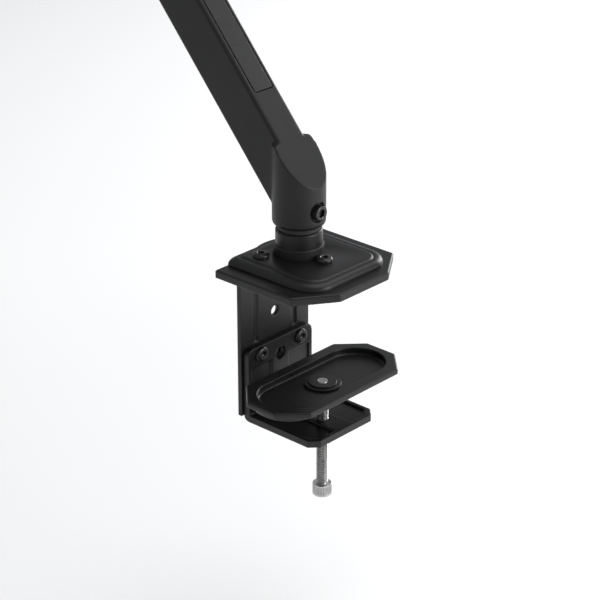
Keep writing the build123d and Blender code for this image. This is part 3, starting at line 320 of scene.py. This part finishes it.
MATERIALS = {
    "black_powder_coat": powder_coat(),
    "black_cast_arm": cast_paint(),
    "black_screw": black_oxide(),
    "zinc_steel": zinc_plate(),
    "black_plastic": black_plastic(),
    "bearing_plastic": bearing_plastic(),
    "ground_steel": ground_steel(),
}
SLOT_OF = {s["node"]: s["material_slot"] for s in frame["record"]["subparts"]}
BODY_OF = {node: body for body, nodes in frame["record"]["behaviour"]["bodies"].items() for node in nodes}


# ---- mesh helpers -----------------------------------------------------------------------
AROUND = 144              # points round a turned piece; a multiple of 6 keeps hexagon corners


def place_piece(name, mesh, nodes, slot=None):
    """Adds a piece that rides on its first CAD node's body and stands for all the nodes given."""
    obj = bpy.data.objects.new(name, mesh)
    bpy.context.scene.collection.objects.link(obj)
    slot = slot or SLOT_OF[nodes[0]]
    mesh.materials.clear()
    mesh.materials.append(MATERIALS[slot])
    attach(obj, BODY_OF[nodes[0]])
    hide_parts(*nodes)
    return obj


def apply_modifiers(obj):
    """Bakes a piece's modifiers into its mesh."""
    graph = bpy.context.evaluated_depsgraph_get()
    mesh = bpy.data.meshes.new_from_object(obj.evaluated_get(graph))
    obj.modifiers.clear()
    obj.data = mesh
    return mesh


def softened(node, voxel, rounds):
    """The CAD node again with its edges rounded, as casting, pressing and paint leave them."""
    obj = bpy.data.objects.new(node + "_soft", frame["nodes"][node].data.copy())
    bpy.context.scene.collection.objects.link(obj)
    remesh = obj.modifiers.new("remesh", "REMESH")
    remesh.mode = "VOXEL"
    remesh.voxel_size = voxel
    smooth = obj.modifiers.new("smooth", "SMOOTH")
    smooth.factor = 0.5
    smooth.iterations = rounds
    fewer = obj.modifiers.new("fewer", "DECIMATE")
    fewer.ratio = 0.3     # flat stretches don't need a voxel's grid
    mesh = apply_modifiers(obj)
    bpy.data.objects.remove(obj)
    mesh.shade_smooth()
    return place_piece(node + "_piece", mesh, [node])


def ring_mesh(bm, rings, closed=False):
    """Joins rings of equal length into a skin. A ring of one point closes the skin there."""
    rows = [[bm.verts.new(p) for p in ring] for ring in rings]
    pairs = list(zip(rows, rows[1:]))
    if closed:
        pairs.append((rows[-1], rows[0]))
    for low, high in pairs:
        count = max(len(low), len(high))
        for k in range(count):
            j = (k + 1) % count
            if len(low) == 1:
                bm.faces.new((low[0], high[j], high[k]))
            elif len(high) == 1:
                bm.faces.new((low[k], low[j], high[0]))
            else:
                bm.faces.new((low[k], low[j], high[j], high[k]))


def to_mesh(name, bm, degrees=35):
    """Turns a bmesh into a mesh with smooth shading that keeps its real corners sharp."""
    bmesh.ops.recalc_face_normals(bm, faces=bm.faces)
    mesh = bpy.data.meshes.new(name)
    bm.to_mesh(mesh)
    bm.free()
    mesh.shade_smooth()
    mesh.set_sharp_from_angle(angle=radians(degrees))
    return mesh


def circle(radius, z):
    """A ring of points on a circle."""
    steps = [tau * k / AROUND for k in range(AROUND)]
    return [(radius * cos(angle), radius * sin(angle), z) for angle in steps]


def hexagon_radius(turn, across):
    """Distance from the middle of a hexagon to its side, at a share of a full turn."""
    off = (turn * 6) % 1.0 - 0.5
    return across / 2 / cos(off * tau / 6)


def hexagon(across, z):
    """A ring of points on a hexagon, given across its flats."""
    ring = []
    for k in range(AROUND):
        r = hexagon_radius(k / AROUND, across)
        ring.append((r * cos(tau * k / AROUND), r * sin(tau * k / AROUND), z))
    return ring


def ridged(radius, z, ridges, depth):
    """A ring with fine straight knurling."""
    ring = []
    for k in range(AROUND):
        turn = k / AROUND
        r = radius - depth * (0.5 + 0.5 * cos(tau * turn * ridges))
        ring.append((r * cos(tau * turn), r * sin(tau * turn), z))
    return ring


def socket_rings(across, top, floor, mouth=0.35 * MM):
    """A hexagon socket: chamfered mouth, straight walls and a drilled cone at the bottom."""
    walls = [hexagon(across, top - mouth * 1.4), hexagon(across, floor)]
    cone = [circle(across / 2 * 0.9, floor - 0.1 * MM), [(0, 0, floor - 0.9 * MM)]]
    return [circle(across / 2 * 1.16 + mouth, top), *walls, *cone]


def shank_rings(radius, length, lead=0.5 * MM):
    """A plain shank below z = 0, with a lead-in at its end."""
    tip = [[(0, 0, -length)], circle(radius - lead, -length)]
    return tip + [circle(radius, lead - length), circle(radius, 0)]


def cap_head(radius, high, across, socket):
    """A socket cap head with a knurled side and a turned top edge, from its seat at z = 0."""
    knurl = 0.022 * radius + 0.1 * MM
    step = high / 10
    return [circle(radius - 0.3 * MM, 0), circle(radius, 0.3 * MM),
            circle(radius - 0.05 * MM, step), ridged(radius, 1.3 * step, 36, knurl),
            ridged(radius, 7.4 * step, 36, knurl), circle(radius - 0.05 * MM, 7.8 * step),
            circle(radius, 8.2 * step), circle(radius, 9.0 * step),
            circle(radius - 0.12 * MM, 9.5 * step), circle(radius - 0.45 * MM, high - 0.1 * MM),
            circle(radius - 0.9 * MM, high),
            *socket_rings(across, high, high - socket)]


def button_head(radius, high, across, socket):
    """A low domed head from its seat at z = 0."""
    flat = across / 2 * 1.16 + 0.7 * MM
    edge = 0.35 * high
    dome = []
    for k in range(9):
        angle = pi / 2 * k / 8
        dome.append(circle(flat + (radius - flat) * cos(angle), edge + (high - edge) * sin(angle)))
    return [circle(radius - 0.2 * MM, 0), circle(radius, 0.2 * MM), *dome,
            *socket_rings(across, high, high - socket)]


def nut_rings(across, high, bore):
    """A hexagon nut: its corners are turned off in a cone at both faces."""
    corner = across / 2 / cos(tau / 12)
    cone = 0.12 * across
    rings = [circle(bore, 0.0), circle(bore + 0.5 * MM, 0.0)]
    steps = 12
    for k in range(steps + 1):
        z = high * k / steps
        reach = across / 2 * 0.97 + (corner - across / 2 * 0.97) * min(1.0, min(z, high - z) / cone * 1.8)
        ring = []
        for i in range(AROUND):
            r = min(hexagon_radius(i / AROUND, across), reach)
            ring.append((r * cos(tau * i / AROUND), r * sin(tau * i / AROUND), z))
        rings.append(ring)
    return rings + [circle(bore + 0.5 * MM, high), circle(bore, high)]


def frame_at(place, direction, spin=0.0):
    """A matrix that stands a piece built along +Z at a place, pointing in a direction."""
    turn = Vector(direction).to_track_quat("Z", "Y").to_matrix().to_4x4()
    return Matrix.Translation(place) @ turn @ Matrix.Rotation(spin, 4, "Z")


def screws(name, node, builds):
    """One piece made of several screws or nuts; builds holds (rings, closed, matrix) for each."""
    bm = bmesh.new()
    for rings, closed, matrix in builds:
        first = len(bm.verts)
        ring_mesh(bm, rings, closed)
        bm.verts.ensure_lookup_table()
        bmesh.ops.transform(bm, matrix=matrix, verts=bm.verts[first:])
    return place_piece(name, to_mesh(name, bm), [node])


# ---- clamp screw ------------------------------------------------------------------------
def thread_ring(radius, depth, z, low, high, pitch):
    """One ring of a right-hand thread; the groove runs out near both ends."""
    fade = max(0.0, min(1.0, (z - low) / pitch, (high - z) / pitch))
    ring = []
    for k in range(AROUND):
        turn = k / AROUND
        wave = abs(2 * (((z - low) / pitch - turn) % 1.0) - 1)
        cut = 1 - min(1.0, max(0.0, (wave - 0.10) / 0.76))
        r = radius - depth * (cut * fade + 0.6 * (1 - fade))
        ring.append((r * cos(tau * turn), r * sin(tau * turn), z))
    return ring


def clamp_screw():
    """A zinc-plated M8 cap screw, threaded from its knurled head to its tip."""
    per_turn = 9
    head_r = (SCREW_HI.x - SCREW_LO.x) / 2
    seat = SCREW_LO.z + CLAMP_HEAD_HIGH
    low, high = seat, SCREW_HI.z
    rows = int((high - low) / THREAD_PITCH * per_turn)
    rings = [[(0, 0, 0)]]
    for row in range(rows + 1):
        z = low + (high - low) * row / rows
        ring = thread_ring(THREAD_R, THREAD_DEEP, z, low, high, THREAD_PITCH)
        rings.append([(x, y, z - low) for x, y, z in ring])
    rings.append(circle(THREAD_R - THREAD_DEEP - 0.3 * MM, high - low))
    rings.append([(0, 0, high - low)])
    middle = ((SCREW_LO.x + SCREW_HI.x) / 2, 0, seat)
    shank = (rings, False, Matrix.Translation(middle))
    head_rings = [[(0, 0, 0)]] + cap_head(head_r, CLAMP_HEAD_HIGH, CLAMP_HEX, CLAMP_SOCKET)
    head = (head_rings, False, frame_at(middle, (0, 0, -1)))
    screws("clamp_screw_threaded", "clamp_screw", [shank, head])


# ---- foot of the pole -------------------------------------------------------------------
def foot_ring(back, front, half, front_round, back_round, z):
    """A rectangle with rounded corners, with the same number of points at every height."""
    per_corner = AROUND // 4
    corners = ((front - front_round, half - front_round, front_round, 0),
               (back + back_round, half - back_round, back_round, 90),
               (back + back_round, back_round - half, back_round, 180),
               (front - front_round, front_round - half, front_round, 270))
    ring = []
    for x, y, r, start in corners:
        for k in range(per_corner):
            angle = radians(start + 90 * k / (per_corner - 1))
            ring.append((x + r * cos(angle), y + r * sin(angle), z))
    return ring


def foot_circle(radius, z):
    """A circle whose points line up with foot_ring's corners."""
    per_corner = AROUND // 4
    return [(radius * cos(radians(q * 90 + 90 * k / per_corner)),
             radius * sin(radians(q * 90 + 90 * k / per_corner)), z)
            for q in range(4) for k in range(per_corner)]


def between(a, b, share):
    """A ring part of the way from one ring to another."""
    return [tuple(p + (q - p) * share for p, q in zip(u, v)) for u, v in zip(a, b)]


def foot_at(spread_back, spread_front, spread_side, front_round, z):
    """The foot's outline, drawn in from its widest by a given amount on each side."""
    return foot_ring(FOOT_LO.x + spread_back, FOOT_HI.x - spread_front, FOOT_HI.y - spread_side,
                     front_round, BACK_ROUND, z)


def post_base():
    """The pressed foot: a rolled wall, a crease inside it and a slightly raised top."""
    low, high = FOOT_LO.z, FOOT_HI.z
    roll_top = high - 0.7 * MM
    skirt = foot_at(0, 0, 0, SKIRT_ROUND, low)
    crown = foot_at(FLARE_BACK, FLARE_FRONT, FLARE_SIDE, CROWN_ROUND, low)
    rings = [skirt]
    steps = 10
    for k in range(steps + 1):
        angle = pi / 2 * k / steps
        z = low + 0.5 * MM + (roll_top - low - 0.5 * MM) * sin(angle)
        rings.append([(x, y, z) for x, y, _ in between(crown, skirt, cos(angle))])
    inset = (0.5, 0.9, 1.3, 1.9, 2.6, 4.0)
    rise = (-0.12, -0.25, 0.05, 0.5, 0.66, 0.7)
    for step, lift in zip(inset, rise):
        grow = step * MM
        rings.append(foot_at(FLARE_BACK + grow, FLARE_FRONT + grow, FLARE_SIDE + grow,
                             CROWN_ROUND - grow, roll_top + lift * MM))
    neck = POLE_R + 0.25 * MM
    rings.append(foot_circle(neck + 0.5 * MM, high))
    rings.append(foot_circle(neck, high - 0.4 * MM))
    rings.append(foot_circle(neck, low + FLANGE_HIGH))
    rings.append(foot_circle(FLANGE_R, low + FLANGE_HIGH))
    rings.append(foot_circle(FLANGE_R, low))
    bm = bmesh.new()
    ring_mesh(bm, rings, closed=True)
    place_piece("post_base_pressed", to_mesh("post_base_pressed", bm, 50), ["post_base"])


# ---- small fasteners --------------------------------------------------------------------
def base_screws():
    """Three low domed screws that hold the foot to the plate."""
    seat = FOOT_HI.z
    x0, x1 = BASE_SCREWS_LO.x + BASE_HEAD_R, BASE_SCREWS_HI.x - BASE_HEAD_R
    y = BASE_SCREWS_HI.y - BASE_HEAD_R
    shank = shank_rings(M6_R, seat - BASE_SCREWS_LO.z)
    head = button_head(BASE_HEAD_R, BASE_SCREWS_HI.z - seat, BUTTON_HEX, BUTTON_SOCKET)
    builds = []
    for place, spin in (((x1, 0), 0.3), ((x0, y), 0.9), ((x0, -y), 0.1)):
        builds.append((shank + head, False, frame_at((*place, seat), (0, 0, 1), spin)))
    screws("base_screws_domed", "base_screws", builds)


def bracket_bolts():
    """Two domed bolts through both brackets, and their nuts behind."""
    seat = BOLTS_HI.x - BOLT_HEAD_HIGH
    y, z = BOLTS_HI.y - BOLT_HEAD_R, (BOLTS_LO.z + BOLTS_HI.z) / 2
    shank = shank_rings(M6_R, seat - BOLTS_LO.x)
    head = button_head(BOLT_HEAD_R, BOLT_HEAD_HIGH, BUTTON_HEX, BUTTON_SOCKET)
    nut = nut_rings(BOLT_NUT, NUTS_HI.x - NUTS_LO.x, M6_R)
    bolts, nuts = [], []
    for side in (-1, 1):
        bolts.append((shank + head, False, frame_at((seat, side * y, z), (1, 0, 0), side * 0.4)))
        nuts.append((nut, True, frame_at((NUTS_LO.x, side * y, z), (1, 0, 0))))
    screws("bracket_bolts_domed", "bracket_bolts", bolts)
    screws("bracket_nuts_turned", "bracket_nuts", nuts)


def hub_screw():
    """The cap screw that sets the base swivel's friction."""
    seat = HUB_SCREW_HI.x - CAP_HIGH
    z = (HUB_SCREW_LO.z + HUB_SCREW_HI.z) / 2
    shank = shank_rings(M6_R, seat - HUB_SCREW_LO.x)
    head = cap_head(HUB_HEAD_R, CAP_HIGH, CAP_HEX, HUB_SOCKET)
    screw = (shank + head, False, frame_at((seat, 0, z), (1, 0, 0), 0.2))
    screws("hub_screw_knurled", "hub_screw", [screw])


def tilt_bolt():
    """The cap screw and nut across the tilt joint."""
    x, z = (TILT_BOLT_LO.x + TILT_BOLT_HI.x) / 2, (TILT_BOLT_LO.z + TILT_BOLT_HI.z) / 2
    seat = TILT_BOLT_LO.y + CAP_HIGH
    shank = shank_rings(M8_R, TILT_BOLT_HI.y - seat)
    head = cap_head(TILT_HEAD_R, CAP_HIGH, CAP_HEX, TILT_SOCKET)
    bolt = (shank + head, False, frame_at((x, seat, z), (0, -1, 0)))
    screws("tilt_bolt_knurled", "tilt_bolt", [bolt])
    nut = nut_rings(TILT_NUT, TILT_NUT_HI.y - TILT_NUT_LO.y, M8_R)
    screws("tilt_nut_turned", "tilt_nut", [(nut, True, frame_at((x, TILT_NUT_LO.y, z), (0, 1, 0)))])


def plate_nut():
    """The nut that holds the screen plate on its spindle."""
    y, z = (PLATE_NUT_LO.y + PLATE_NUT_HI.y) / 2, (PLATE_NUT_LO.z + PLATE_NUT_HI.z) / 2
    nut = nut_rings(PLATE_NUT, PLATE_NUT_HI.x - PLATE_NUT_LO.x, PLATE_NUT_BORE)
    screws("plate_nut_turned", "plate_nut", [(nut, True, frame_at((PLATE_NUT_LO.x, y, z), (1, 0, 0)))])


# ---- pressed, bent and cast pieces ------------------------------------------------------
SOFTENED = {              # node: (voxel in mm, rounds of smoothing)
    "base_plate": (0.6, 4),
    "upper_bracket": (0.6, 4),
    "lower_bracket": (0.5, 8),
    "clamp_pad": (0.5, 8),
    "lower_arm": (0.6, 5),
    "lower_arm_cover": (0.5, 3),
    "elbow_knuckle": (0.6, 5),
    "elbow_cap": (0.5, 3),
    "arm_top_shell": (0.7, 4),
    "parallel_link": (0.6, 4),
    "arm_bottom_cover": (0.5, 3),
    "cable_clips": (0.4, 3),
    "head_knuckle": (0.6, 5),
    "swivel_bracket": (0.6, 4),
    "tilt_block": (0.6, 4),
    "vesa_plate": (0.5, 3),
}

camera()
studio()
for part in frame["nodes"]:
    mesh = frame["nodes"][part].data
    mesh.materials.clear()
    mesh.materials.append(MATERIALS[SLOT_OF[part]])
for part, (voxel, rounds) in SOFTENED.items():
    softened(part, voxel * MM, rounds)
post_base()
clamp_screw()
base_screws()
bracket_bolts()
hub_screw()
tilt_bolt()
plate_nut()
